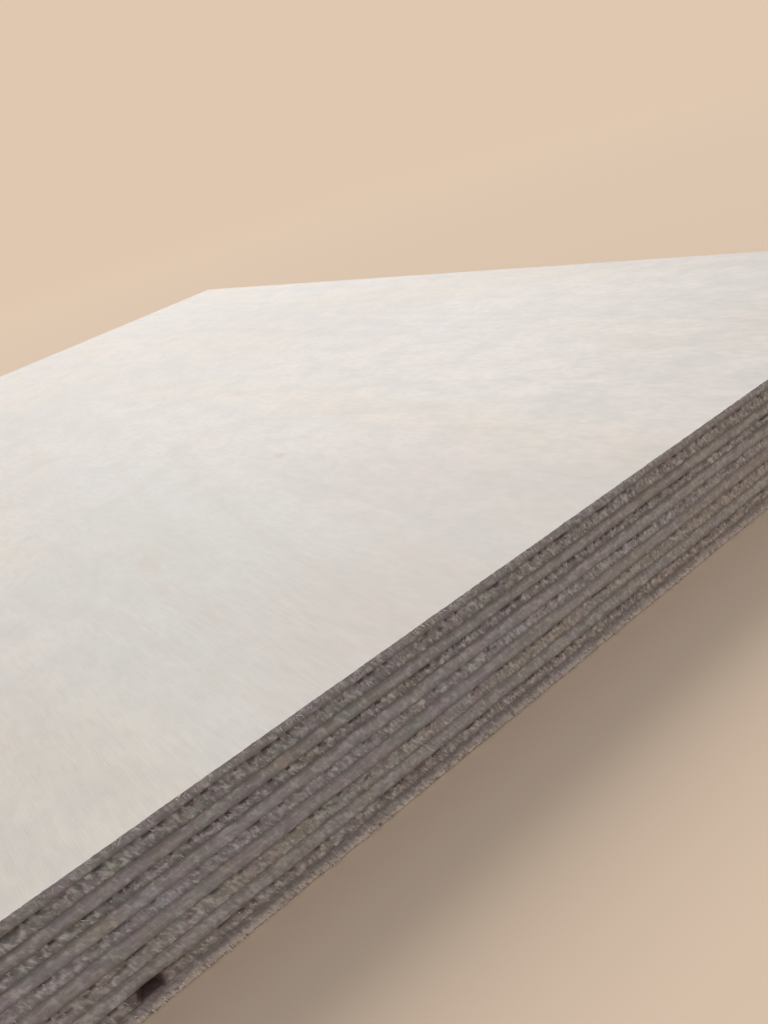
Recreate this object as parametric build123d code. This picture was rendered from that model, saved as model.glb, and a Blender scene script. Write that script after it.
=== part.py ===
"""A sheet of birch plywood, sawn square on all four sides and lying flat with its face up.

Its thickness is what its plies add up to. The origin is the middle of the underside. X runs
along the longer sides, Y along the grain of the face, and Z up. The odd plies have their grain
along Y and the even plies along X, so the longer sides show the end grain of the odd plies.
All sizes are in millimetres.
"""

from build123d import *
import os

# the sheet as it was sawn
sheet_length = 500.0
sheet_width = 250.0

# the thickness of each veneer, from the face down, as the sawn side shows it
face_veneer = 1.0
crossband_2 = 1.5
longband_3 = 1.3
crossband_4 = 1.1
longband_5 = 1.45
centre_6 = 1.3
longband_7 = 1.55
crossband_8 = 1.6
longband_9 = 1.5
crossband_10 = 1.25
back_veneer = 1.45

# the knot hole in one crossband, which the saw opened on the front side
knot_hole_width = 2.2
knot_hole_depth = 1.8
knot_hole_from_right_end = 134.2

plies_from_the_face = {
    "ply_01_face_veneer": face_veneer,
    "ply_02_crossband": crossband_2,
    "ply_03_longband": longband_3,
    "ply_04_crossband": crossband_4,
    "ply_05_longband": longband_5,
    "ply_06_centre": centre_6,
    "ply_07_longband": longband_7,
    "ply_08_crossband": crossband_8,
    "ply_09_longband": longband_9,
    "ply_10_crossband": crossband_10,
    "ply_11_back_veneer": back_veneer,
}
ply_with_knot_hole = "ply_10_crossband"


def veneer(thickness):
    """One veneer with its sawn edges, lying on the XY plane."""
    outline = Rectangle(sheet_length, sheet_width)
    return extrude(outline, thickness)


def knot_hole(thickness):
    """The knot that fell out: an oval plug through one veneer, centred where the saw ran."""
    centre_x = sheet_length / 2 - knot_hole_from_right_end
    oval = Pos(centre_x, -sheet_width / 2) * Ellipse(knot_hole_width / 2, knot_hole_depth)
    return extrude(oval, thickness)


def lay_up():
    """All plies in place, from the back veneer up, each glued flat on the one below."""
    sheet = {}
    height = 0.0
    for name, thickness in reversed(plies_from_the_face.items()):
        ply = veneer(thickness)
        if name == ply_with_knot_hole:
            ply -= knot_hole(thickness)
        sheet[name] = Pos(0, 0, height) * ply
        height += thickness
    return sheet


os.makedirs("parts", exist_ok=True)
for name, ply in lay_up().items():
    export_step(ply, f"parts/{name}.step")
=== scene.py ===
import math
import random

import bmesh
import bpy
from mathutils import Matrix, Vector, noise


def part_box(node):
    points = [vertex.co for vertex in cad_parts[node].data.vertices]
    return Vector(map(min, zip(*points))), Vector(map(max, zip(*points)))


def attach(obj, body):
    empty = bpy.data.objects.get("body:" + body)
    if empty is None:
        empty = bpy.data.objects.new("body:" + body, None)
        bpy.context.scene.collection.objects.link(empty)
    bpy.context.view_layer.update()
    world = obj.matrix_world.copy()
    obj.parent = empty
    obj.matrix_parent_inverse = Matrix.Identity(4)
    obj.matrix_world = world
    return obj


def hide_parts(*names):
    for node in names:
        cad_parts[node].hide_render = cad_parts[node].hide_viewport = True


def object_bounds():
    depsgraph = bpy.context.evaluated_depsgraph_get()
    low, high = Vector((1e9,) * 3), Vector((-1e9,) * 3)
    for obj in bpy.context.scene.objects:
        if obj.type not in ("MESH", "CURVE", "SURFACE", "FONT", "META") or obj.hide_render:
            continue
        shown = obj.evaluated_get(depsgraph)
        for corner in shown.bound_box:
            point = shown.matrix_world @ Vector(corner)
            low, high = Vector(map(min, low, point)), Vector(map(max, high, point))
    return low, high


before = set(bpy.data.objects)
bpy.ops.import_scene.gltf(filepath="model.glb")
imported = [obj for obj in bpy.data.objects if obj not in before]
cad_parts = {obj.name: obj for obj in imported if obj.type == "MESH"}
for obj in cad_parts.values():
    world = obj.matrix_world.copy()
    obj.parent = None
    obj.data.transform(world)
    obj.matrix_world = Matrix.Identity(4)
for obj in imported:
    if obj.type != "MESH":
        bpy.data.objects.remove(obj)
cad_low, cad_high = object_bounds()

# lengths below are in millimetres, unless their comment says metres, and become metres by this
MM = 0.001

# the sheet, from its own solids: plies from the face down
plies = sorted(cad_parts)
half_length = cad_high.x
half_width = cad_high.y
ply_with_knot_hole = "ply_10_crossband"
plies_by_the_hole = (9, 10, 11)

# the front side's stretches along X, and the width of their columns: finest near the camera
front_stretches = ((-250.0, 98.0, 0.55), (98.0, 171.5, 0.13), (171.5, 250.0, 0.25))
other_column = 0.62

# how near to the solid's side a vertex is on it, in metres
on_the_edge = 1e-6

# the plain grid on a ply's upper and lower side, and the border that joins it to the sawn sides
cap_border = 5.0
cap_columns = 20
cap_rows = 10

# heights of the mesh's rows in a ply, as shares of its thickness
rough_rows = (0.06, 0.14, 0.24, 0.35, 0.47, 0.59, 0.71, 0.82, 0.92, 1.0)
smooth_rows = (0.07, 0.2, 0.42, 0.66, 0.85, 0.94, 1.0)

# depths and reaches of the relief that the saw left
smooth_edge_wear = 0.02
smooth_edge_reach = 0.14
top_arris_wear = 0.07
bottom_arris_wear = 0.11
hole_edge_wear = 0.24
hole_rim_reach = 0.8
hole_corner = 0.22
hole_sway = 0.3
hole_raggedness = 0.1
smooth_relief = 0.014
rough_relief = 0.085
rough_set_back = 0.04
pit_depth = 0.22
torn_depth = 0.38
torn_reach = 0.6
glue_line_wander = 0.13

# how far the torn fibres' strokes stray along the side for each millimetre down
stroke_lean = 0.4

# how strong each glue line shows, from the one under the face veneer down
glue_line_strengths = (1.0, 1.2, 1.1, 1.35, 0.8, 0.95, 0.95, 1.0, 0.95, 0.8)

# how much redder, greener and bluer each ply's wood is than the common tone, from the face down
ply_tones = (
    (2, 2, 9),
    (0, 0, 3),
    (0, 1, 6),
    (4, 4, 9),
    (9, 10, 16),
    (13, 12, 18),
    (8, 6, 9),
    (17, 14, 12),
    (31, 30, 30),
    (19, 13, 10),
    (1, -3, -1),
)

# smooth plies that show leaning strokes of the saw
hatched_plies = (1, 9, 11)

# the stretch of the front side where a warm tint on every ply is painted warm light that falls there, in
# metres
painted_warm_light_middle = (0.218, -0.125, 0.0075)
painted_warm_light_reach = (0.075, 0.03, 0.05)

# how lively the grain of each ply is, from the face down
ply_contrasts = (1.45, 1.08, 1.05, 1.18, 1.1, 1.0, 0.95, 0.9, 1.5, 1.2, 1.35)

# how many splinters and fringe fibres there are, near the camera and elsewhere
slivers_per_square_mm = {"near": 3.4, "far": 1.1}
near_end_from = 98.0
top_fringe_per_mm = {"near": 5.5, "far": 1.3}
bottom_fringe_per_mm = {"near": 14.0, "far": 3.0}

# marks on the upper face, where the photo shows them, and one broad pale spot that is a painted pool of
# light: middle, reach, colour, strength, raggedness
face_marks_and_painted_light = (
    ((138.0, -95.0), (24.0, 58.0), (199, 197, 187), 0.6, 0.7),
    ((152.0, -64.0), (21.0, 66.0), (203, 205, 199), 0.28, 0.6),
    ((171.0, -104.0), (7.0, 34.0), (214, 197, 193), 0.35, 0.8),
    ((182.5, -62.0), (7.5, 96.0), (223, 208, 180), 0.36, 0.9),
    ((146.0, -120.0), (18.0, 27.0), (203, 188, 178), 0.64, 0.7),
    ((117.0, -118.0), (17.0, 42.0), (212, 199, 178), 0.36, 0.6),
    # a painted pool of light: the paler, better lit far right of the face, not a mark of the wood
    ((210.0, -102.0), (54.0, 130.0), (232, 221, 215), 0.46, 0.9),
    ((196.0, 66.0), (12.0, 54.0), (226, 208, 200), 0.3, 0.8),
    ((162.3, -84.0), (1.1, 36.0), (184, 176, 166), 0.17, 2.2),
    ((138.4, -97.0), (2.6, 20.0), (202, 184, 176), 0.34, 1.6),
    ((140.6, -77.5), (2.4, 9.0), (200, 186, 168), 0.22, 1.8),
    ((139.6, -82.0), (1.3, 4.2), (198, 178, 156), 0.3, 1.4),
    ((134.0, -62.0), (1.6, 26.0), (188, 184, 176), 0.2, 1.2),
    ((141.0, -118.5), (0.8, 9.0), (186, 176, 164), 0.16, 1.3),
)

# the grain per metre of a mark's ragged rim: the finest, and that of a mark of 1 mm reach
finest_grain = 320.0
broad_grain = 1500.0

# a pin knot on the upper face, with its halo and core: reach, colour, strength, raggedness, grain
pin_knot_place = (166.3, -69.3)
pin_knot_stains = (
    ((1.7, 2.6), (208, 186, 178), 0.34, 0.6, 900.0),
    ((1.0, 1.5), (190, 160, 150), 0.4, 0.6, 1300.0),
)

# what is left of the knot round its hole, halo and core: reach across, in and up as shares of the
# hole's half width, depth and half width, then raggedness, grain per metre, colour, strength
knot_stains = (
    ((2.5, 3.5, 1.55), 0.8, 1100.0, (110, 91, 85), 0.88),
    ((1.9, 3.0, 1.25), 0.5, 1300.0, (122, 96, 91), 0.9),
)

# the map of a ply's pattern, one unit wide: the millimetres of side in a row, and the margins
side_row = 64.0
side_row_under_a_face = 86.0
row_overlap = 1.0
row_margin = 0.15
row_gap = 0.004
face_margin = 0.01
hidden_strip = 0.03125
hidden_margin = 0.001

# for all fibres below: the least and greatest value, and the likeliest where there is a third
corner_clearance = 0.5
hole_clearance = 0.2

# splinters on the torn plies: the foot as a share of the ply's height, and the tilt in degrees
splinter_foot = (0.08, 0.9, 0.5)
splinter_clumps = (-0.35, 0.25)
splinter_length = (0.25, 0.6)
splinter_width = (0.08, 0.2)
splinter_tilt = (4, 22)
splinter_root = 0.04
hanging_share = 0.4
past_the_ply = 0.1

# hairs over the upper arris: how deep they start, how they rise, how long and wide they are
hair_clumps = (-0.4, 0.3)
hair_start = (0.02, 0.25)
hair_rise = (-1.4, 0.5)
hair_length = (0.18, 0.75, 0.35)
hair_width = (0.07, 0.15)

# frayed fibres at the lower arris: how high they start, how they stand out and rise, their size
fray_clumps = (-0.45, 0.2)
fray_start = (0.0, 0.85, 0.15)
fray_outwards = (0.3, 0.9)
fray_rise = (-1.0, 0.1)
fray_length = (0.2, 0.6, 0.3)
fray_width = (0.1, 0.26)
fringe_root = 0.05

# floor, light and camera, in metres but for the floor's drop and the lens
backdrop = (224, 200, 176)
floor_seen = (0.84, 0.65, 0.49, 1.0)
floor_lit = (0.76, 0.67, 0.57, 1.0)
floor_radius = 14.0
floor_drop = 0.05
floor_fades = (0.3, 0.85)
sky_colour = (0.93, 0.96, 1.0, 1.0)
sky_strength = 0.5
gloss_colour = (0.97, 0.97, 1.0, 1.0)
gloss_strength = 0.95
lamp_colour = (1.0, 0.985, 0.965)
camera_place = (0.115818, -0.182971, 0.055130)
camera_right = (0.76112564, -0.57656827, -0.29708043)
camera_up = (0.46778538, 0.17068971, 0.86720347)
camera_ahead = (0.44929343, 0.79902068, -0.39962652)
focal_length = 31.309
sensor_width = 36.0


def ply_number(node):
    """A ply's number, from the face down, as its node's name gives it."""
    return int(node.split("_")[1])


def is_long_grain(node, normal):
    """True where a sawn side runs with the ply's grain, which the saw leaves torn."""
    along_y = ply_number(node) % 2 == 1
    return abs(normal.x) > 0.5 if along_y else abs(normal.y) > 0.5


def knot_hole():
    """The middle, half width and depth of the hole in a ply's front side, from its own solid."""
    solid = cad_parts[ply_with_knot_hole].data
    inner = [v.co for v in solid.vertices if abs(v.co.x) < half_length - MM]
    left = min(co.x for co in inner)
    right = max(co.x for co in inner)
    depth = max(co.y for co in inner) + half_width
    return (left + right) / 2, (right - left) / 2, depth


hole_middle, hole_half_width, hole_depth = knot_hole()
hole_low, hole_high = (c.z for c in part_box(ply_with_knot_hole))


# the mesh of one ply


def mesh_of(bm, name):
    """The finished mesh of a bmesh, which is freed."""
    mesh = bpy.data.meshes.new(name)
    bm.to_mesh(mesh)
    bm.free()
    return mesh


def placed(name, data):
    """An object in the scene for a mesh, a lamp or a camera."""
    thing = bpy.data.objects.new(name, data)
    bpy.context.scene.collection.objects.link(thing)
    return thing


def outline(bm, z):
    """The sheet's rectangle as a ring of edges, with the sides divided into columns."""
    corners = bmesh.ops.create_grid(bm, x_segments=1, y_segments=1, size=0.5)["verts"]
    bmesh.ops.scale(bm, vec=(2 * half_length, 2 * half_width, 1), verts=corners)
    bmesh.ops.translate(bm, vec=(0, 0, z), verts=corners)
    sides = list(dict.fromkeys(e for v in corners for e in v.link_edges))
    bmesh.ops.delete(bm, geom=corners[0].link_faces[:], context="FACES_ONLY")
    ring = []
    for side in sides:
        middle = (side.verts[0].co + side.verts[1].co) / 2
        if middle.y < -abs(middle.x):
            ring += front_side(bm, side)
        else:
            ring += divided(bm, side, other_column)
    return ring


def divided(bm, edge, column):
    """An edge cut into columns of about one width."""
    columns = round(edge.calc_length() / (column * MM))
    made = bmesh.ops.subdivide_edges(bm, edges=[edge], cuts=columns - 1)
    return list(dict.fromkeys(e for e in made["geom_split"] if isinstance(e, bmesh.types.BMEdge)))


def front_side(bm, edge):
    """The side towards the viewer, in stretches with columns of their own width."""
    ring = []
    rest = edge
    for low, high, column in front_stretches[:-1]:
        ends = sorted(rest.verts, key=lambda v: v.co.x)
        part = (high * MM - ends[0].co.x) / (ends[1].co.x - ends[0].co.x)
        new_edge, new_vert = bmesh.utils.edge_split(rest, ends[0], part)
        first, rest = sorted((rest, new_edge), key=lambda e: sum(v.co.x for v in e.verts))
        ring += divided(bm, first, column)
    return ring + divided(bm, rest, front_stretches[-1][2])


def raised(bm, ring, step):
    """Extrudes a ring of edges upwards by one row and returns the new ring."""
    made = bmesh.ops.extrude_edge_only(bm, edges=ring)
    verts = [g for g in made["geom"] if isinstance(g, bmesh.types.BMVert)]
    top = set(verts)
    bmesh.ops.translate(bm, vec=(0, 0, step), verts=verts)
    edges = [g for g in made["geom"] if isinstance(g, bmesh.types.BMEdge)]
    return [e for e in edges if e.verts[0] in top and e.verts[1] in top]


def stretch_of(edge):
    """Which side of the sheet an edge of a ring runs along, and which part of the front side."""
    first, second = (v.co for v in edge.verts)
    middle = (first + second) / 2
    if abs(first.x - second.x) < abs(first.y - second.y):
        return "right" if middle.x > 0 else "left"
    if middle.y > 0:
        return "back"
    return sum(middle.x > high * MM for low, high, column in front_stretches)


def capped(bm, ring, z):
    """Closes a ring with a plain grid and a border round it, and returns the faces."""
    made = bmesh.ops.create_grid(bm, x_segments=cap_columns, y_segments=cap_rows, size=0.5)
    verts = made["verts"]
    size = (2 * (half_length - cap_border * MM), 2 * (half_width - cap_border * MM), 1)
    bmesh.ops.scale(bm, vec=size, verts=verts)
    bmesh.ops.translate(bm, vec=(0, 0, z), verts=verts)
    faces = list(dict.fromkeys(f for v in verts for f in v.link_faces))
    rim = [e for e in dict.fromkeys(e for v in verts for e in v.link_edges) if e.is_boundary]
    for stretch in ("right", "back", "left", *range(len(front_stretches))):
        outer = [e for e in ring if stretch_of(e) == stretch]
        inner = [e for e in rim if stretch_of(e) == stretch]
        faces += bmesh.ops.bridge_loops(bm, edges=outer + inner)["faces"]
    return faces


# the relief of the sawn sides, in millimetres, outwards; a noise's factors are its waves per
# millimetre, and what is added to a place takes another part of the noise


def smoothstep(low, high, value):
    """From 0 at low to 1 at high, with no corners; low may be the greater."""
    t = min(max((value - low) / (high - low), 0.0), 1.0)
    return t * t * (3 - 2 * t)


def end_grain_relief(q):
    """Clean cut fibre ends, with faint upright marks of the saw."""
    marks_and_painted_light = noise.noise((q.x * 5.5, q.y * 5.5, q.z * 0.3))
    waves = noise.noise((q.x * 0.7, q.y * 0.7, q.z * 1.3 + 20))
    return smooth_relief * (marks_and_painted_light + waves)


def long_grain_relief(q, height):
    """Torn fibres in lumps that lean a little, with pits in the ply's upper half."""
    leaning = q.z * stroke_lean
    lumps = noise.noise((q.x * 1.5 + leaning, q.y * 1.5 + leaning, q.z * 0.9 + 7))
    tears = noise.noise((q.x * 3.4 + leaning, q.y * 3.4 + leaning, q.z * 1.2))
    wells = noise.noise((q.x * 0.95, q.y * 0.95, q.z * 1.7 + 40))
    pits = smoothstep(0.15, 0.5, wells) * smoothstep(0.2, 0.7, height)
    return rough_relief * (lumps + 0.8 * tears) - rough_set_back - pit_depth * pits


def torn_out(q, number):
    """How far the wood has torn out in places just below the glue line above a rough ply."""
    clumps = noise.noise((q.x * 0.45, q.y * 0.45, number * 3.1))
    clumps += 1.3 * noise.noise((q.x * 1.9, q.y * 1.9, number * 4.7))
    deepest = torn_depth * glue_line_strengths[number - 2]
    return deepest * (0.05 + 0.95 * smoothstep(0.06, 0.56, clumps))


def edge_wear(q, number, at_top):
    """How far the crisp edge of a smooth ply is worn or chipped."""
    ragged = noise.noise((q.x * 1.3, q.y * 1.3, number * 2.3 + at_top))
    fine = noise.noise((q.x * 3.1, q.y * 3.1, 11))
    if number == len(plies) and not at_top:
        return bottom_arris_wear * max(0.1, 0.7 + ragged + 0.9 * fine)
    if number == 1 and at_top:
        return top_arris_wear * max(0.2, 0.8 + 0.9 * ragged + 0.8 * fine)
    wear = smooth_edge_wear * max(0.2, 0.8 + 1.6 * ragged)
    if q.y < 0 and number == plies_by_the_hole[-1 if at_top else 0]:
        away = abs(q.x - hole_middle / MM) - hole_half_width / MM
        wear += hole_edge_wear * smoothstep(0.6, -0.4, away + 0.9 * fine)
    return wear


def glue_line_rise(q, number):
    """How far a glue line strays from level at a place on the side."""
    if number in (0, len(plies)):
        return 0.0
    slow = noise.noise((q.x * 0.16, q.y * 0.16, number * 5.3))
    quick = noise.noise((q.x * 0.8, q.y * 0.8, number * 9.7))
    return glue_line_wander * (slow + 0.35 * quick)


def blended(first, second, share):
    """From the first value at a share of 0 to the second at 1."""
    return first + (second - first) * share


def relief(q, node, normal, height, thickness):
    """How far a point of a sawn side stands out, in millimetres."""
    number = ply_number(node)
    below_top = (1 - height) * thickness
    above_bottom = height * thickness
    if is_long_grain(node, normal):
        own = long_grain_relief(q, height)
        if number > 1:
            share = smoothstep(torn_reach, 0.25 * torn_reach, below_top)
            own = blended(own, -torn_out(q, number), share)
    else:
        own = end_grain_relief(q)
    at_top = max(0.0, 1 - below_top / smooth_edge_reach) ** 2
    at_bottom = max(0.0, 1 - above_bottom / smooth_edge_reach) ** 2
    if number == 1 or not is_long_grain(node, normal):
        own = blended(own, -edge_wear(q, number, True), at_top)
    return blended(own, -edge_wear(q, number, False), at_bottom)


def round_the_hole(co, q):
    """Where a point of the front side lies once the knot hole has its ragged rim and its depth."""
    co = co.copy()
    from_middle = co.x - hole_middle
    side = math.copysign(1, from_middle)
    to_corner = (2 * co.z - hole_low - hole_high) / (hole_high - hole_low)
    sway = hole_sway * noise.noise((side * 4.0, q.z * 1.9, 9)) - hole_corner * to_corner ** 4
    sway *= MM
    past_rim = (abs(from_middle) - hole_half_width) / (hole_rim_reach * MM)
    if past_rim >= 0:
        co.x += side * sway * max(0.0, 1 - past_rim)
        return co
    turn = from_middle / hole_half_width * math.pi / 2
    ragged = hole_raggedness * MM * noise.noise((q.x * 3, q.z * 2.5, 5)) * math.cos(turn)
    co.x = hole_middle + (hole_half_width + sway) * math.sin(turn)
    co.y = -half_width + (hole_depth + ragged) * math.cos(turn)
    return co


def worn(bm, node, sides, z_low, z_high):
    """Gives the sawn sides their relief, and keeps each vertex's height in the ply and its recess."""
    heights = bm.verts.layers.float.new("ply_height")
    recesses = bm.verts.layers.float.new("recess")
    thickness = (z_high - z_low) / MM
    number = ply_number(node)
    for vert in {v for f in sides for v in f.verts}:
        co = vert.co
        q = co / MM
        height = (co.z - z_low) / (z_high - z_low)
        on_front = half_width + co.y < on_the_edge
        rise = glue_line_rise(q, number - 1) * height + glue_line_rise(q, number) * (1 - height)
        outwards = 0.0
        for axis, edge in enumerate((half_length, half_width)):
            if edge - abs(vert.co[axis]) < on_the_edge:
                normal = Vector((0, 0, 0))
                normal[axis] = math.copysign(1, vert.co[axis])
                outwards = relief(q, node, normal, height, thickness)
                co = co + normal * outwards * MM
        if node == ply_with_knot_hole and on_front:
            if abs(co.x - hole_middle) < hole_half_width:
                # the hole's inside counts as 1 mm deep, which gives it the painted shade of deep places
                outwards = -1.0
            co = round_the_hole(co, q)
        co.z += rise * MM
        vert.co = co
        vert[heights] = height
        vert[recesses] = -outwards


# where each face lies on the map that the pattern is kept on


def laid_out(bm, node, sides, caps, shown_cap):
    """A map with the sides in rows of strips, and the face that shows, if any, above them."""
    layer = bm.loops.layers.uv.new("OFBake")
    row_length = side_row if shown_cap is None else side_row_under_a_face
    density = 1.0 / row_length
    z_low, z_high = (c.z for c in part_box(node))
    thickness = (z_high - z_low) / MM
    row_height = (thickness + 2 * row_margin) * density + row_gap
    for face in sides:
        starts = [place_along(loop.vert.co, face) for loop in face.loops]
        row = int(min(starts) // (row_length - row_overlap))
        for loop, start in zip(face.loops, starts):
            u = (start - row * (row_length - row_overlap)) * density
            v = ((loop.vert.co.z - z_low) / MM + row_margin) * density
            loop[layer].uv = (min(u, 1.0), row * row_height + row_gap / 2 + v)
    face_size = 1.0 - 2 * face_margin
    for face in caps:
        for loop in face.loops:
            across = loop.vert.co.x / (2 * half_length) + 0.5
            up = loop.vert.co.y / (2 * half_width) + 0.5
            if shown_cap is not None and face in shown_cap:
                u = face_margin + face_size * across
                v = 1.0 - face_size / 2 + face_size * face_size / 2 * up
            else:
                u = hidden_strip * across
                v = 1.0 - hidden_margin - hidden_strip / 2 * (1.0 - up)
            loop[layer].uv = (u, v)


def place_along(co, face):
    """How far round the sheet a point of a side face is, in millimetres, from the front's left end."""
    length = 2 * half_length / MM
    width = 2 * half_width / MM
    normal = face.normal
    x = co.x / MM + length / 2
    y = co.y / MM + width / 2
    if abs(normal.y) > abs(normal.x):
        return x if normal.y < 0 else length + width + (length - x)
    return length + y if normal.x > 0 else 2 * length + width + (width - y)


def sawn_ply(node, materials):
    """One ply, with its sawn sides in relief, that stands for its CAD node."""
    low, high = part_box(node)
    bm = bmesh.new()
    rows = rough_rows if ply_number(node) % 2 == 0 else smooth_rows
    bottom = outline(bm, low.z)
    ring = bottom
    before = 0.0
    for row in rows:
        ring = raised(bm, ring, (row - before) * (high.z - low.z))
        before = row
    sides = list(bm.faces)
    lower = capped(bm, bottom, low.z)
    upper = capped(bm, ring, high.z)
    bmesh.ops.recalc_face_normals(bm, faces=bm.faces)
    bm.normal_update()
    for face in sides:
        face.material_index = 1 if is_long_grain(node, face.normal) else 0
        face.smooth = True
    shown_cap = None
    if node == plies[0]:
        shown_cap = set(upper)
    elif node == plies[-1]:
        shown_cap = set(lower)
    for face in lower + upper:
        face.material_index = 2 if shown_cap and face in shown_cap else 1
    laid_out(bm, node, sides, lower + upper, shown_cap)
    worn(bm, node, sides, low.z, high.z)
    mesh = mesh_of(bm, f"sawn_{node}")
    for material in materials:
        mesh.materials.append(material)
    return placed(f"sawn_{node}", mesh)


# colours and node groups


def colour(red, green, blue):
    """A colour as a picture shows it, from 0 to 255, as light."""
    def light(value):
        share = value / 255
        return share / 12.92 if share <= 0.04045 else ((share + 0.055) / 1.055) ** 2.4
    return light(red), light(green), light(blue), 1.0


def new_group(name, inputs, outputs):
    """An empty node group with its named sockets, and its two ends."""
    tree = bpy.data.node_groups.new(name, "ShaderNodeTree")
    for kind, socket, value in inputs:
        made = tree.interface.new_socket(name=socket, in_out="INPUT", socket_type=kind)
        made.default_value = value
    for kind, socket in outputs:
        tree.interface.new_socket(name=socket, in_out="OUTPUT", socket_type=kind)
    return tree, tree.nodes.new("NodeGroupInput"), tree.nodes.new("NodeGroupOutput")


def add(tree, kind, links=(), **settings):
    """A node with its settings and with what its inputs read or hold."""
    node = tree.nodes.new(kind)
    for name, value in settings.items():
        setattr(node, name, value)
    for socket, source in dict(links).items():
        if isinstance(source, bpy.types.NodeSocket):
            tree.links.new(source, node.inputs[socket])
        else:
            node.inputs[socket].default_value = source
    return node


def maths(tree, operation, first, second):
    """Two values worked into one."""
    return add(tree, "ShaderNodeMath", {0: first, 1: second}, operation=operation).outputs[0]


def vector_maths(tree, operation, first, second):
    """Two places worked into one."""
    links = {0: first, 1: second}
    return add(tree, "ShaderNodeVectorMath", links, operation=operation).outputs["Vector"]


def far_from(tree, place):
    """How far a place is from the origin."""
    node = add(tree, "ShaderNodeVectorMath", {0: place}, operation="LENGTH")
    return node.outputs["Value"]


def here(tree):
    """The place that is shaded, on the piece's own axes."""
    return add(tree, "ShaderNodeTexCoord").outputs["Object"]


def kept(tree, name):
    """What the mesh keeps at its vertices under a name."""
    return add(tree, "ShaderNodeAttribute", attribute_name=name).outputs["Fac"]


def eased(tree, value, low, high):
    """A mask from 0 at low to 1 at high, with no corners; low may be the greater."""
    return add(
        tree,
        "ShaderNodeMapRange",
        {"Value": value, "From Min": low, "From Max": high},
        interpolation_type="SMOOTHSTEP",
    ).outputs["Result"]


def make_patches_group():
    """Soft or sharp patches of one size, from noise that is stretched along the axes."""
    tree, given, result = new_group(
        "patches",
        [
            ("NodeSocketVector", "Patches per metre", (100, 100, 100)),
            ("NodeSocketFloat", "Lean", 0.0),
            ("NodeSocketVector", "Seed", (0, 0, 0)),
            ("NodeSocketFloat", "Detail", 1.0),
            ("NodeSocketFloat", "From", 0.4),
            ("NodeSocketFloat", "To", 0.6),
        ],
        [("NodeSocketFloat", "Mask")],
    )
    parts = add(tree, "ShaderNodeSeparateXYZ", {0: here(tree)})
    lean = maths(tree, "MULTIPLY", parts.outputs["Z"], given.outputs["Lean"])
    leaning = add(
        tree,
        "ShaderNodeCombineXYZ",
        {
            "X": maths(tree, "ADD", parts.outputs["X"], lean),
            "Y": maths(tree, "ADD", parts.outputs["Y"], lean),
            "Z": parts.outputs["Z"],
        },
    )
    scaled = vector_maths(tree, "MULTIPLY", leaning.outputs[0], given.outputs["Patches per metre"])
    shifted = vector_maths(tree, "ADD", scaled, given.outputs["Seed"])
    field = add(
        tree,
        "ShaderNodeTexNoise",
        {"Vector": shifted, "Scale": 1.0, "Detail": given.outputs["Detail"], "Roughness": 0.55},
    )
    mask = eased(tree, field.outputs[0], given.outputs["From"], given.outputs["To"])
    tree.links.new(mask, result.inputs["Mask"])
    return tree


def make_spot_group():
    """An oval spot round a place on the sheet, as long and wide as its reach says."""
    tree, given, result = new_group(
        "spot",
        [
            ("NodeSocketVector", "Middle", (0, 0, 0)),
            ("NodeSocketVector", "Reach", (1, 1, 1)),
            ("NodeSocketFloat", "Ragged", 0.3),
            ("NodeSocketFloat", "Grain per metre", 400.0),
        ],
        [("NodeSocketFloat", "Mask")],
    )
    place = here(tree)
    from_middle = vector_maths(tree, "SUBTRACT", place, given.outputs["Middle"])
    away = far_from(tree, vector_maths(tree, "DIVIDE", from_middle, given.outputs["Reach"]))
    ragged = add(
        tree,
        "ShaderNodeTexNoise",
        {"Vector": place, "Scale": given.outputs["Grain per metre"], "Detail": 2.0},
    )
    centred = maths(tree, "SUBTRACT", ragged.outputs[0], 0.5)
    strayed = maths(tree, "MULTIPLY", centred, given.outputs["Ragged"])
    mask = eased(tree, maths(tree, "ADD", away, strayed), 1.0, 0.25)
    tree.links.new(mask, result.inputs["Mask"])
    return tree


def make_glue_line_group():
    """The dark glue lines at a ply's upper and lower side, which swell, thin out and break."""
    tree, given, result = new_group(
        "glue_lines",
        [
            ("NodeSocketFloat", "Thickness", 0.0014),
            ("NodeSocketFloat", "Width", 0.0002),
            ("NodeSocketFloat", "Upper strength", 1.0),
            ("NodeSocketFloat", "Lower strength", 1.0),
            ("NodeSocketVector", "Seed", (0, 0, 0)),
        ],
        [("NodeSocketFloat", "Mask")],
    )
    height = kept(tree, "ply_height")
    place = vector_maths(tree, "ADD", here(tree), given.outputs["Seed"])
    swell = add(
        tree,
        "ShaderNodeTexNoise",
        {"Vector": place, "Scale": 640.0, "Detail": 2.0, "Roughness": 0.6},
    )
    swollen = add(
        tree,
        "ShaderNodeMapRange",
        {"Value": swell.outputs[0], "From Min": 0.36, "From Max": 0.64, "To Min": 0.3, "To Max": 1.6},
    ).outputs["Result"]
    width = maths(tree, "MULTIPLY", swollen, given.outputs["Width"])
    masks = []
    for side in ("Upper", "Lower"):
        share = maths(tree, "SUBTRACT", 1.0, height) if side == "Upper" else height
        away = maths(tree, "MULTIPLY", share, given.outputs["Thickness"])
        mask = eased(tree, maths(tree, "DIVIDE", away, width), 2.2, 0.15)
        masks.append(maths(tree, "MULTIPLY", mask, given.outputs[f"{side} strength"]))
    tree.links.new(maths(tree, "MAXIMUM", *masks), result.inputs["Mask"])
    return tree


patches_group = make_patches_group()
spot_group = make_spot_group()
glue_line_group = make_glue_line_group()


def patches(tree, per_metre, seed, low, high, detail=1.0, lean=0.0):
    """The mask of patches, so many a metre on each axis, where noise goes from low to high."""
    return add(
        tree,
        "ShaderNodeGroup",
        {
            "Patches per metre": per_metre,
            "Lean": lean,
            "Seed": (seed * 7.31, seed * 3.77, seed * 5.19),
            "Detail": detail,
            "From": low,
            "To": high,
        },
        node_tree=patches_group,
    ).outputs["Mask"]


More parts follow.
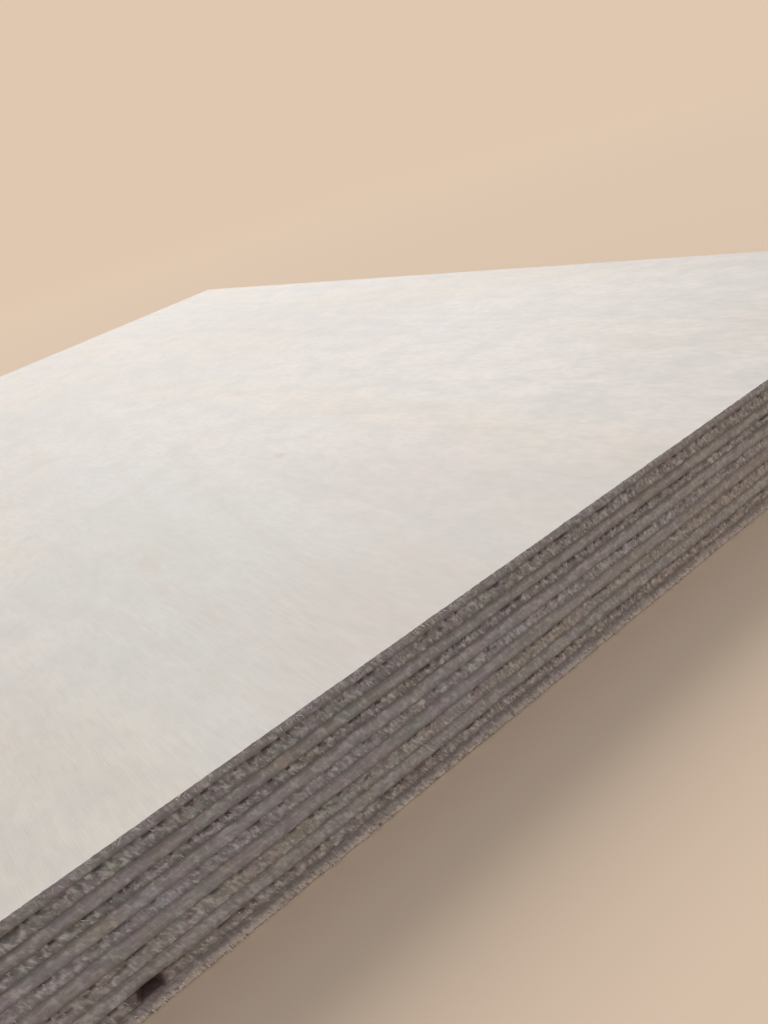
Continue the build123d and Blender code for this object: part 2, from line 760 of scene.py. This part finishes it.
def spot(tree, middle, reach, ragged, grain):
    """The mask of one oval spot."""
    return add(
        tree,
        "ShaderNodeGroup",
        {"Middle": middle, "Reach": reach, "Ragged": ragged, "Grain per metre": grain},
        node_tree=spot_group,
    ).outputs["Mask"]


def tinted(tree, base, tint, mask, strength):
    """The base colour, turned towards the tint where the mask is."""
    share = maths(tree, "MULTIPLY", mask, strength)
    mix = add(tree, "ShaderNodeMix", {"Factor": share}, data_type="RGBA")
    for socket, value in ((6, base), (7, tint)):
        if isinstance(value, bpy.types.NodeSocket):
            tree.links.new(value, mix.inputs[socket])
        else:
            mix.inputs[socket].default_value = value
    return mix.outputs[2]


def new_material(name):
    """A material, its nodes, and its shader."""
    material = bpy.data.materials.new(name)
    material.use_nodes = True
    tree = material.node_tree
    return material, tree, tree.nodes["Principled BSDF"]


def finished(tree, shader, base, height, bump, rough, least, spread):
    """The colour, a bump in millimetres, and a roughness that a mask raises from its least."""
    settings = {"Height": height, "Strength": 0.8, "Distance": bump * MM}
    bumped = add(tree, "ShaderNodeBump", settings)
    raised_by = {0: rough, 1: spread, 2: least}
    roughness = add(tree, "ShaderNodeMath", raised_by, operation="MULTIPLY_ADD")
    tree.links.new(base, shader.inputs["Base Color"])
    tree.links.new(bumped.outputs["Normal"], shader.inputs["Normal"])
    tree.links.new(roughness.outputs[0], shader.inputs["Roughness"])


def toned(node, red, green, blue):
    """A colour of the wood, turned to a ply's own tone."""
    shift = ply_tones[ply_number(node) - 1]
    return colour(red + shift[0], green + shift[1], blue + shift[2])


def glue_line_strength(number):
    """The strength of the glue line under a ply, and none over the first or under the last."""
    return glue_line_strengths[number - 1] if 0 < number < len(plies) else 0.0


def ply_thickness(node):
    """A ply's thickness in metres, from its own solid."""
    low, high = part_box(node)
    return high.z - low.z


def glue_lines(tree, node, width):
    """The glue lines of a ply, left out on the two outer surfaces of the sheet."""
    number = ply_number(node)
    return add(
        tree,
        "ShaderNodeGroup",
        {
            "Thickness": ply_thickness(node),
            "Width": width * MM,
            "Upper strength": glue_line_strength(number - 1),
            "Lower strength": glue_line_strength(number),
            "Seed": (0.0, 0.0, number * 0.37 + width),
        },
        node_tree=glue_line_group,
    ).outputs["Mask"]


def painted_shade_in_recesses(tree, low, high):
    """A mask for painted shade where the sawn surface lies deep, in its torn recesses and the knot hole,
    from low to high, in millimetres.
    """
    return eased(tree, kept(tree, "recess"), low, high)


def tints_and_painted_warm_light(tree, node, base, strength):
    """Patches of warmer, cooler, greener and more purple wood in a ply's own tone, and a warm tint on a
    stretch of the front side that is painted warm light.
    """
    number = ply_number(node)
    for per_metre, seed, tint, share in (
        ((150, 150, 500), number, (174, 157, 130), 0.8),
        ((230, 230, 600), number + 70, (162, 163, 172), 0.7),
        ((460, 460, 800), number + 110, (151, 160, 144), 0.75),
        ((420, 420, 700), number + 130, (177, 154, 162), 0.7),
    ):
        mask = patches(tree, per_metre, seed, 0.44, 0.68, 1.5)
        base = tinted(tree, base, toned(node, *tint), mask, share * strength)
    # painted warm light on the far stretch of the front side, not warmer wood
    painted_warm_light = spot(tree, painted_warm_light_middle, painted_warm_light_reach, 0.6, 90.0)
    return tinted(tree, base, toned(node, 188, 167, 142), painted_warm_light, 0.7)


def glued(tree, node, base, broad):
    """The wood, darkened where the glue soaked in along the glue lines."""
    return tinted(tree, base, colour(108, 96, 89), glue_lines(tree, node, broad), 0.54)


def end_grain(node):
    """Clean cut fibre ends: fairly smooth, with faint leaning saw marks and fine pores."""
    number = ply_number(node)
    material, tree, shader = new_material(f"end_grain_{number:02d}")
    contrast = ply_contrasts[number - 1]
    base = tints_and_painted_warm_light(tree, node, toned(node, 176, 164, 158), 0.9)
    layers = patches(tree, (210, 210, 3400), number + 50, 0.38, 0.68, 2.0)
    base = tinted(tree, base, toned(node, 142, 131, 124), layers, 0.6)
    grain = patches(tree, (520, 520, 2200), number + 60, 0.42, 0.68, 2.0)
    base = tinted(tree, base, toned(node, 138, 127, 120), grain, 0.5 * contrast)
    saw_marks = patches(tree, (3400, 3400, 700), number + 20, 0.3, 0.7, 2.0, stroke_lean)
    base = tinted(tree, base, colour(136, 124, 116), saw_marks, 0.34 * contrast)
    bright = patches(tree, (2300, 2300, 800), number + 90, 0.48, 0.74, 2.0, stroke_lean)
    base = tinted(tree, base, colour(208, 197, 189), bright, 0.6 * contrast)
    pores = patches(tree, (5200, 5200, 4200), number + 40, 0.55, 0.75)
    base = tinted(tree, base, colour(122, 111, 103), pores, 0.35)
    if number in hatched_plies:
        hatching = patches(tree, (2700, 2700, 750), number + 22, 0.46, 0.68, 1.5, stroke_lean)
        base = tinted(tree, base, toned(node, 116, 106, 101), hatching, 0.42)
    if node == plies[-1]:
        height = kept(tree, "ply_height")
        frayed = add(tree, "ShaderNodeMapRange", {"Value": height, "From Min": 0.75, "From Max": 0.1})
        fuzz = patches(tree, (2500, 2500, 900), number + 80, 0.3, 0.6, 2.0, stroke_lean)
        fuzzy = maths(tree, "MULTIPLY", frayed.outputs["Result"], fuzz)
        base = tinted(tree, base, colour(246, 224, 206), fuzzy, 0.9)
    base = glued(tree, node, base, 0.25)
    if number in plies_by_the_hole:
        base = knot_stain(tree, base, 0.45 if node == plies[-1] else 0.8)
    finished(tree, shader, base, saw_marks, 0.02, saw_marks, 0.68, 0.1)
    return material


def painted_shade_in_gaps(tree, number):
    """A mask for painted shade in the gaps between torn fibres, which lean down from the glue line above.
    """
    upper_part = eased(tree, kept(tree, "ply_height"), 0.3, 0.8)
    gaps = patches(tree, (1050, 1050, 520), number + 140, 0.52, 0.66, 2.0, stroke_lean)
    return maths(tree, "MULTIPLY", upper_part, gaps)


def long_grain(node):
    """Torn fibres: hatched and mottled, with pale tufts that lean, and painted shade in their gaps and
    pits.
    """
    number = ply_number(node)
    material, tree, shader = new_material(f"long_grain_{number:02d}")
    contrast = ply_contrasts[number - 1]
    base = tints_and_painted_warm_light(tree, node, toned(node, 180, 170, 163), 1.0)
    streaks = patches(tree, (230, 230, 2500), number + 55, 0.42, 0.66, 2.0)
    base = tinted(tree, base, toned(node, 140, 127, 118), streaks, 0.5)
    mottle = patches(tree, (1150, 1150, 650), number, 0.38, 0.64, 3.0, stroke_lean)
    base = tinted(tree, base, toned(node, 132, 121, 114), mottle, 0.68 * contrast)
    hatching = patches(tree, (2800, 2800, 680), number + 22, 0.38, 0.66, 1.0, stroke_lean)
    base = tinted(tree, base, toned(node, 112, 102, 96), hatching, 0.48 * contrast)
    tufts = patches(tree, (3100, 3100, 900), number + 33, 0.48, 0.72, 1.0, stroke_lean)
    base = tinted(tree, base, toned(node, 226, 217, 205), tufts, 0.48 * contrast)
    base = glued(tree, node, base, 0.21)
    # painted shade in the gaps between the torn fibres
    base = tinted(tree, base, colour(92, 79, 70), painted_shade_in_gaps(tree, number), 0.62 * contrast)
    # painted shade in the recesses and in the knot hole
    base = tinted(tree, base, colour(92, 79, 70), painted_shade_in_recesses(tree, 0.1, 0.31), 0.88)
    if number in plies_by_the_hole:
        base = knot_stain(tree, base, 1.0)
    height = maths(tree, "SUBTRACT", tufts, hatching)
    finished(tree, shader, base, height, 0.04, hatching, 0.78, 0.1)
    return material


def knot_stain(tree, base, strength):
    """The dark brown of what is left of a knot round its hole."""
    middle = (hole_middle, -half_width + hole_depth / 2, (hole_low + hole_high) / 2)
    for (across, deep_in, up), ragged, grain, tint, share in knot_stains:
        reach = (hole_half_width * across, hole_depth * deep_in, hole_half_width * up)
        mask = spot(tree, middle, reach, ragged, grain)
        base = tinted(tree, base, colour(*tint), mask, share * strength)
    return base


def growth_rings(tree, seed):
    """Thin wandering lines, where a growth ring came up to the knife that peeled the veneer."""
    stretch = add(
        tree,
        "ShaderNodeMapping",
        {"Vector": here(tree), "Scale": (7.5, 1.35, 1.0), "Location": (seed, seed * 0.7, 0)},
    )
    field = add(
        tree,
        "ShaderNodeTexNoise",
        {"Vector": stretch.outputs[0], "Scale": 1.0, "Detail": 2.5, "Roughness": 0.45, "Distortion": 0.25},
    )
    ridge = maths(tree, "PINGPONG", maths(tree, "MULTIPLY", field.outputs[0], 30.0), 0.5)
    return eased(tree, ridge, 0.3, 0.5)


def peeled_birch(name, seed, marks_and_painted_light):
    """The pale, sanded face: soft bands, growth rings and fine fibres, all along the grain."""
    material, tree, shader = new_material(name)
    base = colour(217, 208, 199)
    bands = patches(tree, (26, 3.2, 1), seed, 0.35, 0.7, 2.0)
    base = tinted(tree, base, colour(214, 199, 182), bands, 0.4)
    clouds = patches(tree, (75, 14, 1), seed + 1, 0.4, 0.7, 3.0)
    base = tinted(tree, base, colour(205, 201, 195), clouds, 0.5)
    for per_metre, number, tint in (
        ((17, 8, 1), 31, (231, 221, 214)),
        ((34, 9, 1), 32, (202, 199, 189)),
        ((62, 9, 1), 33, (223, 208, 182)),
        ((55, 12, 1), 34, (213, 197, 191)),
    ):
        broad = patches(tree, per_metre, seed + number, 0.5, 0.72, 1.5)
        base = tinted(tree, base, colour(*tint), broad, 0.4)
    if marks_and_painted_light:
        # the marks of the upper face, and a painted pool of light on its far right
        base = with_marks_and_painted_light(tree, base)
    blotches = patches(tree, (330, 130, 1), seed + 5, 0.4, 0.66, 3.0)
    base = tinted(tree, base, colour(196, 189, 180), blotches, 0.3)
    flecks = patches(tree, (1200, 500, 1), seed + 6, 0.4, 0.66, 2.0)
    base = tinted(tree, base, colour(192, 184, 175), flecks, 0.24)
    smudges = patches(tree, (190, 120, 1), seed + 7, 0.44, 0.68, 3.0)
    base = tinted(tree, base, colour(193, 190, 183), smudges, 0.3)
    rings = growth_rings(tree, seed)
    base = tinted(tree, base, colour(192, 174, 155), rings, 0.1)
    fibres = patches(tree, (3600, 170, 1), seed + 2, 0.3, 0.7, 2.0)
    base = tinted(tree, base, colour(200, 188, 174), fibres, 0.08)
    hairs = patches(tree, (9000, 420, 1), seed + 3, 0.3, 0.7)
    base = tinted(tree, base, colour(232, 224, 214), hairs, 0.05)
    pores = patches(tree, (6500, 380, 1), seed + 4, 0.66, 0.8)
    base = tinted(tree, base, colour(188, 174, 158), pores, 0.15)
    height = maths(tree, "SUBTRACT", hairs, maths(tree, "MULTIPLY", pores, 2.0))
    finished(tree, shader, base, height, 0.003, fibres, 0.53, 0.05)
    return material


def with_marks_and_painted_light(tree, base):
    """The faint tints and marks of the wood that can be made out on the upper face, with one broad painted
    pool of light.
    """
    marks_and_painted_light = [(*mark, min(finest_grain, broad_grain / mark[1][0])) for mark in face_marks_and_painted_light]
    marks_and_painted_light += [(pin_knot_place, *stain) for stain in pin_knot_stains]
    for place, size, tint, strength, ragged, grain in marks_and_painted_light:
        middle = (place[0] * MM, place[1] * MM, cad_high.z)
        reach = (size[0] * MM, size[1] * MM, 1.0)
        mask = spot(tree, middle, reach, ragged, grain)
        base = tinted(tree, base, colour(*tint), mask, strength)
    return base


# splinters and fringes


def make_splinter():
    """A flat splinter that tapers, one unit long and wide, standing on the origin."""
    bm = bmesh.new()
    bmesh.ops.create_cone(bm, cap_ends=True, segments=3, radius1=0.5, radius2=0.1, depth=1.0)
    bmesh.ops.translate(bm, vec=(0, 0, 0.5), verts=bm.verts)
    upright = [e for e in bm.edges if abs(e.verts[0].co.z - e.verts[1].co.z) > 0.5]
    bmesh.ops.subdivide_edges(bm, edges=upright, cuts=1)
    halfway = [v for v in bm.verts if 0.25 < v.co.z < 0.75]
    bmesh.ops.translate(bm, vec=(0, -0.3, 0), verts=halfway)
    return mesh_of(bm, "splinter")


def splinter_turn(place, outwards, ahead, length, width):
    """Lays a splinter with its foot at a place, its flat side outwards and its tip ahead."""
    ahead = ahead.normalized()
    across = outwards.cross(ahead).normalized()
    turn = Matrix((across, ahead.cross(across), ahead)).transposed().to_4x4()
    size = Matrix.Diagonal((width, width * 0.4, length, 1.0))
    return Matrix.Translation(place) @ turn @ size


def loose_fibre(name, tint, seed):
    """Wood fibres that stand free, some clumps darker and some single ones paler than the rest."""
    material, tree, shader = new_material(name)
    clumps = patches(tree, (420, 420, 600), seed, 0.4, 0.64, 2.0)
    base = tinted(tree, tint, colour(150, 138, 128), clumps, 0.32)
    single = patches(tree, (2400, 2400, 1700), seed + 1, 0.44, 0.64)
    base = tinted(tree, base, colour(238, 229, 218), single, 0.32)
    finished(tree, shader, base, single, 0.006, clumps, 0.74, 0.1)
    return material


def joined_splinters(name, turns, tint, seed):
    """One piece of all splinters of a kind, none of which reaches below the underside."""
    splinter = make_splinter()
    unturned = [c for v in splinter.vertices for c in v.co]
    bm = bmesh.new()
    for turn in turns:
        splinter.vertices.foreach_set("co", unturned)
        splinter.transform(turn)
        below = min(v.co.z for v in splinter.vertices)
        if below < 0:
            splinter.transform(Matrix.Translation((0, 0, -below)))
        bm.from_mesh(splinter)
    bmesh.ops.recalc_face_normals(bm, faces=bm.faces)
    mesh = mesh_of(bm, name)
    bpy.data.meshes.remove(splinter)
    mesh.materials.append(loose_fibre(name, tint, seed))
    piece = placed(name, mesh)
    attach(piece, "root")


def sides_of_the_sheet():
    """Each sawn side in stretches: its outward direction, a corner, its direction and length."""
    x, y = half_length / MM, half_width / MM
    near = near_end_from
    return (
        ("near", Vector((0, -1, 0)), Vector((near, -y, 0)), Vector((1, 0, 0)), x - near),
        ("far", Vector((0, -1, 0)), Vector((-x, -y, 0)), Vector((1, 0, 0)), x + near),
        ("far", Vector((1, 0, 0)), Vector((x, -y, 0)), Vector((0, 1, 0)), 2 * y),
        ("far", Vector((0, 1, 0)), Vector((x, y, 0)), Vector((-1, 0, 0)), 2 * x),
        ("far", Vector((-1, 0, 0)), Vector((-x, y, 0)), Vector((0, -1, 0)), 2 * y),
    )


def in_the_hole(q):
    """True where a place on the front side is in the knot hole or at its very rim."""
    away = abs(q.x * MM - hole_middle) - hole_half_width
    return q.y < 0 and away < hole_clearance * MM


def torn_splinters():
    """Splinters in clumps on every ply whose side runs with the grain."""
    turns = []
    for distance, outwards, corner, along, length in sides_of_the_sheet():
        for node in plies:
            low, high = (c.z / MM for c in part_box(node))
            if not is_long_grain(node, outwards):
                continue
            wanted = round(length * (high - low) * slivers_per_square_mm[distance])
            while wanted > 0:
                wanted -= 1
                height = random.triangular(*splinter_foot)
                q = corner + along * random.uniform(corner_clearance, length - corner_clearance)
                q.z = low + height * (high - low)
                clump = noise.noise((q.x * 0.4, q.y * 0.4, q.z * 0.8))
                if clump < random.uniform(*splinter_clumps):
                    continue
                if node == ply_with_knot_hole and in_the_hole(q):
                    continue
                stands_out = relief(q, node, outwards, height, high - low)
                foot = q + outwards * (stands_out - splinter_root)
                tilt = math.radians(random.uniform(*splinter_tilt))
                upward = Vector((0, 0, 1)) - along * random.gauss(stroke_lean, 0.2)
                if random.random() < hanging_share:
                    upward = -upward
                ahead = upward.normalized() * math.cos(tilt) + outwards * math.sin(tilt)
                size = random.uniform(*splinter_length)
                room = (high - q.z) if upward.z > 0 else (q.z - low)
                size = min(size, room + past_the_ply)
                width = random.uniform(*splinter_width)
                turns.append(splinter_turn(foot * MM, outwards, ahead, size * MM, width * MM))
    return turns


def places_along(per_mm, waves, part, clumps):
    """Places along the arrises, in clumps, with the directions outwards and along each side."""
    for distance, outwards, corner, along, length in sides_of_the_sheet():
        for count in range(round(length * per_mm[distance])):
            q = corner + along * random.uniform(corner_clearance, length - corner_clearance)
            if noise.noise((q.x * waves, q.y * waves, part)) >= random.uniform(*clumps):
                yield q, outwards, along


def rooted(q, node, outwards, low, high):
    """Where the foot of a fringe's fibre is, a little way into the sawn side of a ply."""
    height = (q.z - low) / (high - low)
    return q + outwards * (relief(q, node, outwards, height, high - low) - fringe_root)


def top_fringe():
    """Short fibres of the face veneer that stand out over the upper arris."""
    turns = []
    low, high = (c.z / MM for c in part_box(plies[0]))
    for q, outwards, along in places_along(top_fringe_per_mm, 0.3, 3, hair_clumps):
        q.z = high - random.uniform(*hair_start)
        foot = rooted(q, plies[0], outwards, low, high)
        ahead = outwards * 0.6 + along * random.gauss(0.1, 0.5)
        ahead.z = random.uniform(*hair_rise)
        size = random.triangular(*hair_length)
        width = random.uniform(*hair_width)
        turns.append(splinter_turn(foot * MM, Vector((0, 0, 1)), ahead, size * MM, width * MM))
    return turns


def bottom_fringe():
    """Frayed fibres that the saw left along the lower arris, where it came out of the wood."""
    turns = []
    low, high = (c.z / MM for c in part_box(plies[-1]))
    for q, outwards, along in places_along(bottom_fringe_per_mm, 0.5, 8, fray_clumps):
        width = random.uniform(*fray_width)
        size = random.triangular(*fray_length)
        q.z = low + 0.4 * width + random.triangular(*fray_start)
        foot = rooted(q, plies[-1], outwards, low, high)
        ahead = outwards * random.uniform(*fray_outwards)
        ahead += along * random.gauss(stroke_lean, 0.3)
        ahead.z = random.uniform(*fray_rise)
        turns.append(splinter_turn(foot * MM, outwards, ahead, size * MM, width * MM))
    return turns


def make_splinters():
    """The splinters of two tints in turn, and the two fringes."""
    torn = torn_splinters()
    joined_splinters("pale_splinters", torn[::2], colour(206, 196, 183), 201)
    joined_splinters("tan_splinters", torn[1::2], colour(176, 163, 150), 211)
    on_top = top_fringe()
    below = bottom_fringe()
    joined_splinters("fringe_along_the_top", on_top, colour(208, 199, 190), 221)
    joined_splinters("fringe_along_the_bottom", below, colour(228, 210, 195), 231)


# what stands round the sheet


def make_floor():
    """A plain pale floor that runs into the backdrop's colour a little way off."""
    bm = bmesh.new()
    bmesh.ops.create_circle(bm, cap_ends=True, segments=64, radius=floor_radius)
    floor = placed("floor", mesh_of(bm, "floor"))
    floor.location.z = -floor_drop * MM
    material, tree, shader = new_material("floor")
    shader.inputs["Base Color"].default_value = floor_lit
    shader.inputs["Roughness"].default_value = 0.9
    seen = add(tree, "ShaderNodeBsdfDiffuse", {"Color": floor_seen})
    far = add(tree, "ShaderNodeEmission", {"Color": colour(*backdrop), "Strength": 1.0})
    reach = eased(tree, far_from(tree, here(tree)), *floor_fades)
    shown = add(tree, "ShaderNodeMixShader", {0: reach, 1: seen.outputs[0], 2: far.outputs[0]})
    camera_ray = add(tree, "ShaderNodeLightPath").outputs["Is Camera Ray"]
    both = add(
        tree,
        "ShaderNodeMixShader",
        {0: camera_ray, 1: shader.outputs[0], 2: shown.outputs[0]},
    )
    tree.links.new(both.outputs[0], tree.nodes["Material Output"].inputs["Surface"])
    floor.data.materials.append(material)


def make_world():
    """Even, soft light from all round, with the backdrop where the camera looks past the floor."""
    world = bpy.data.worlds.new("studio")
    bpy.context.scene.world = world
    world.use_nodes = True
    tree = world.node_tree
    soft = tree.nodes["Background"]
    soft.inputs["Color"].default_value = sky_colour
    soft.inputs["Strength"].default_value = sky_strength
    gloss = {"Color": gloss_colour, "Strength": gloss_strength}
    sheen = add(tree, "ShaderNodeBackground", gloss)
    seen = add(tree, "ShaderNodeBackground", {"Color": colour(*backdrop), "Strength": 1.0})
    path = add(tree, "ShaderNodeLightPath")
    reflected = add(
        tree,
        "ShaderNodeMixShader",
        {0: path.outputs["Is Glossy Ray"], 1: soft.outputs[0], 2: sheen.outputs[0]},
    )
    mix = add(
        tree,
        "ShaderNodeMixShader",
        {0: path.outputs["Is Camera Ray"], 1: reflected.outputs[0], 2: seen.outputs[0]},
    )
    tree.links.new(mix.outputs[0], tree.nodes["World Output"].inputs["Surface"])


def make_softbox(name, place, aim, size, power):
    """A wide soft lamp that is turned towards a place."""
    lamp = bpy.data.lights.new(name, "AREA")
    lamp.shape = "SQUARE"
    lamp.size = size
    lamp.energy = power
    lamp.color = lamp_colour
    box = placed(name, lamp)
    box.location = place
    box.rotation_euler = (Vector(aim) - Vector(place)).to_track_quat("-Z", "Y").to_euler()


def make_camera():
    """The photo's own view, worked out from the sheet's edges."""
    lens = bpy.data.cameras.new("camera")
    lens.sensor_width = sensor_width
    lens.lens = focal_length
    lens.clip_start = 0.005
    lens.clip_end = 100.0
    camera = placed("camera", lens)
    axes = (Vector(camera_right), Vector(camera_up), -Vector(camera_ahead))
    turn = Matrix(axes).transposed().to_4x4()
    camera.matrix_world = Matrix.Translation(camera_place) @ turn
    bpy.context.scene.camera = camera


def dress_plies():
    """Every ply in its own wood, as a piece that stands for its own node, whose CAD part is hidden."""
    upper_face = peeled_birch("peeled_birch_face", 3.0, True)
    lower_face = peeled_birch("peeled_birch_back", 17.0, False)
    for node in plies:
        shown = lower_face if node == plies[-1] else upper_face
        piece = sawn_ply(node, (end_grain(node), long_grain(node), shown))
        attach(piece, "root")
        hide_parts(node)


random.seed(15)
dress_plies()
make_splinters()
make_floor()
make_world()
make_softbox("window", (2.0, 5.2, 4.6), aim=(0.0, 0.0, 0.0), size=4.0, power=300.0)
make_softbox("low_window", (5.2, 4.4, 2.5), aim=(0.1, 0.0, 0.0), size=3.0, power=60.0)
make_camera()
bpy.context.scene.view_settings.view_transform = "Standard"
